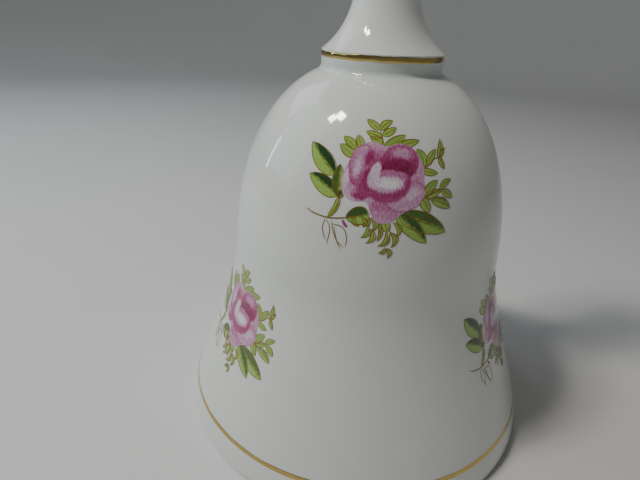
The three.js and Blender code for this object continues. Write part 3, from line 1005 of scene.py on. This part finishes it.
# Brown stems, veins and the two leaves left as outlines, each a brush stroke through a few points
sprayStrokes = (
    {"points": ((-10.6, -5.5), (-9.5, -5.95), (-7.35, -6.2), (-5.2, -5.9), (-4.0, -5.5)), "width": 0.2},
    {"points": ((-6.0, -3.4), (-6.3, -4.6), (-7.3, -6.1)), "width": 0.14},
    {"points": ((-7.8, -6.4), (-8.1, -7.8), (-7.6, -9.3)), "width": 0.13},
    {"points": ((-7.7, -6.4), (-7.05, -7.6), (-7.4, -9.8)), "width": 0.13},
    {"points": ((-6.9, -6.5), (-6.5, -8.1), (-5.5, -10.2)), "width": 0.14},
    {"points": ((-6.8, -6.9), (-5.3, -7.2), (-4.7, -8.5), (-4.8, -9.8)), "width": 0.13},
    {"points": ((-6.5, -7.2), (-6.0, -9.1), (-5.1, -9.9)), "width": 0.12},
    {"points": ((-0.6, 3.4), (-0.7, 4.8), (-1.1, 6.2)), "width": 0.12},
    {"points": ((4.5, 0.8), (5.7, 1.5), (6.4, 2.25), (7.5, 2.3)), "width": 0.16},
    {"points": ((4.4, -2.6), (5.4, -2.7), (6.3, -2.2), (7.5, -1.8)), "width": 0.13},
    {"points": ((5.6, -2.7), (6.2, -3.1), (6.6, -3.3)), "width": 0.12},
    {"points": ((-0.7, -5.6), (-0.6, -6.6), (-0.2, -7.8)), "width": 0.12},
    {"points": ((0.6, -6.6), (1.0, -7.6), (0.4, -9.4)), "width": 0.11},
    {"points": ((-2.4, -5.6), (-1.9, -6.6), (-1.5, -7.8)), "width": 0.11},
    {"points": ((4.2, -5.8), (5.6, -5.3), (7.0, -5.6)), "width": 0.1},
    {"points": ((5.4, -6.3), (6.6, -6.0), (7.8, -6.5)), "width": 0.1},
    {"points": ((-5.4, -6.2), (-5.1, -6.7), (-4.7, -7.1)), "width": 0.42, "tone": 1.0},
)

# Six sprays: three high on the dome and three low on the flare between them
sprays = (
    {"turned": 6.0, "run": 50.86, "tilt": 0},
    {"turned": 126.0, "run": 50.9, "tilt": 3},
    {"turned": 246.0, "run": 50.8, "tilt": -2},
    {"turned": 67.5, "run": 25.2, "tilt": 0},
    {"turned": -50.0, "run": 24.2, "tilt": 0},
    {"turned": 187.0, "run": 24.4, "tilt": 2},
)


def layOnGlaze(bm, turned, run, tilt):
    lean = math.radians(tilt)
    for vert in bm.verts:
        u = vert.co.x * math.cos(lean) + vert.co.y * math.sin(lean)
        v = -vert.co.x * math.sin(lean) + vert.co.y * math.cos(lean)
        point = onSurface(run + v, vert.co.z)
        angle = math.radians(turned) + u / point.x
        vert.co = (point.x * math.sin(angle), -point.x * math.cos(angle), point.y)


def drawPetals():
    bm = newPrint()
    petals(bm, printSkin["roseLayer"])
    return bm


def drawLeaves():
    bm = newPrint()
    for i, shape in enumerate(sprayLeaves):
        leaf(bm, i % printSkin["leafLayers"], **shape)
    return bm


def drawLines():
    bm = newPrint()
    firstLayer = printSkin["leafLayers"]
    for i, shape in enumerate(sprayLeaves):
        leafLines(bm, firstLayer + i % printSkin["lineLayers"], **shape)
    for i, shape in enumerate(sprayStrokes):
        stroke(bm, firstLayer + 1 + i % printSkin["lineLayers"], **shape)
    return bm


print("drawing the spray")
drawings = {
    "Petals": (drawPetals(), roseInk, "transfer_rose"),
    "Leaves": (drawLeaves(), leafInk, "transfer_leaf"),
    "Lines": (drawLines(), lineInk, "transfer_line"),
}
for number, place in enumerate(sprays, 1):
    print("rose spray", number)
    for part, (drawing, ink, slot) in drawings.items():
        bm = drawing.copy()
        layOnGlaze(bm, **place)
        finishMesh(bm, f"roseSpray{number}{part}", ink, "bell")


# Plain pale floor that sweeps up into a wall all round, so every side of the bell is seen against it
def mattPaint():
    material, tree, shader = newMaterial("mattPaint")
    look = {"pale": "#E8E8E8", "greyer": "#E2E2E3", "cloudSize": 60}
    place = addNode(tree, "ShaderNodeTexCoord").outputs["Object"]
    clouds = 1 / (look["cloudSize"] * mm)
    soft = addNode(tree, "ShaderNodeTexNoise", {"Vector": place, "Scale": clouds, "Detail": 2.0})
    colour = addNode(
        tree,
        "ShaderNodeMix",
        {0: soft.outputs[0], 6: linear(look["pale"]), 7: linear(look["greyer"])},
        data_type="RGBA",
    )
    tree.links.new(colour.outputs[2], shader.inputs["Base Color"])
    shader.inputs["Roughness"].default_value = 0.85
    return material


def floorSweep():
    room = {"radius": 700.0, "bend": 220.0, "height": 800.0}
    corner = Vector((room["radius"] - room["bend"], room["bend"]))
    wallTop = Vector((room["radius"], room["height"]))
    profile = [Vector((0, 0))] + arc(corner, room["bend"], -90, 0, 16) + [wallTop]
    bm = bmesh.new()
    spinProfile(bm, profile, 96)
    bmesh.ops.remove_doubles(bm, verts=bm.verts, dist=0.01)
    bmesh.ops.recalc_face_normals(bm, faces=bm.faces)
    bmesh.ops.reverse_faces(bm, faces=bm.faces)
    bmesh.ops.scale(bm, vec=(mm, mm, mm), verts=bm.verts)
    for face in bm.faces:
        face.smooth = True
    mesh = bpy.data.meshes.new("floorSweep")
    bm.to_mesh(mesh)
    bm.free()
    floor = bpy.data.objects.new("floorSweep", mesh)
    bpy.context.scene.collection.objects.link(floor)
    mesh.materials.append(mattPaint())


print("floor, lights and camera")
floorSweep()

# Lights, each by its bearing from the front towards the right and its height in degrees,
# and its distance and size in metres
lights = {
    "window": {
        "bearing": -86, "height": 30, "away": 0.5,
        "size": (0.34, 0.42), "watts": 0.48, "colour": "#C2E4EE",
    },
    "lampLeft": {
        "bearing": -63, "height": 61, "away": 0.36,
        "size": (0.044, 0.036), "watts": 0.45, "colour": "#FFFAF2",
    },
    "lampRight": {
        "bearing": -69.5, "height": 55.5, "away": 0.36,
        "size": (0.034, 0.034), "watts": 0.3, "colour": "#FFFAF2",
    },
    "windowBar": {
        "bearing": -103, "height": 12, "away": 0.36,
        "size": (0.014, 0.1), "watts": 0.045, "colour": "#E8F1FF",
    },
    "backWindow": {
        "bearing": -125, "height": 38, "away": 0.5,
        "size": (0.2, 0.2), "watts": 0.2, "colour": "#E2EDFF",
    },
    "ceiling": {
        "bearing": -164, "height": 70, "away": 0.5,
        "size": (0.05, 0.05), "watts": 0.08, "colour": "#FFFFFF",
    },
}


aimHeight = 0.045  # metres, about the middle of the bell body


def addLight(name, bearing, height, away, size, watts, colour):
    data = bpy.data.lights.new(name, "AREA")
    data.shape = "RECTANGLE"
    data.size, data.size_y = size
    data.energy = watts
    data.color = linear(colour)[:3]
    light = bpy.data.objects.new(name, data)
    turn, rise = math.radians(bearing), math.radians(height)
    aim = Vector((0, 0, aimHeight))
    light.location = aim + away * Vector(
        (math.sin(turn) * math.cos(rise), -math.cos(turn) * math.cos(rise), math.sin(rise))
    )
    light.rotation_euler = (aim - light.location).to_track_quat("-Z", "Y").to_euler()
    bpy.context.scene.collection.objects.link(light)


for name, light in lights.items():
    addLight(name, **light)

air = {"colour": "#F2DFC4", "strength": 0.05}
world = bpy.data.worlds.new("studioAir")
bpy.context.scene.world = world
world.use_nodes = True
world.node_tree.nodes["Background"].inputs["Color"].default_value = linear(air["colour"])
world.node_tree.nodes["Background"].inputs["Strength"].default_value = air["strength"]

# Camera: where it is in metres, and how far it looks down, left and rolled in degrees
view = {"at": (0, -0.0785, 0.06813), "down": 25.61, "left": 5.94, "roll": 2.84, "lens": 26.6}
lens = bpy.data.cameras.new("camera")
lens.lens = view["lens"]
lens.sensor_width = 36
lens.clip_start = 0.001
lens.clip_end = 20
camera = bpy.data.objects.new("camera", lens)
turnLeft = Matrix.Rotation(math.radians(view["left"]), 4, "Z")
lookDown = Matrix.Rotation(math.radians(90 - view["down"]), 4, "X")
roll = Matrix.Rotation(math.radians(view["roll"]), 4, "Z")
camera.matrix_world = Matrix.Translation(view["at"]) @ turnLeft @ lookDown @ roll
bpy.context.scene.collection.objects.link(camera)
bpy.context.scene.camera = camera
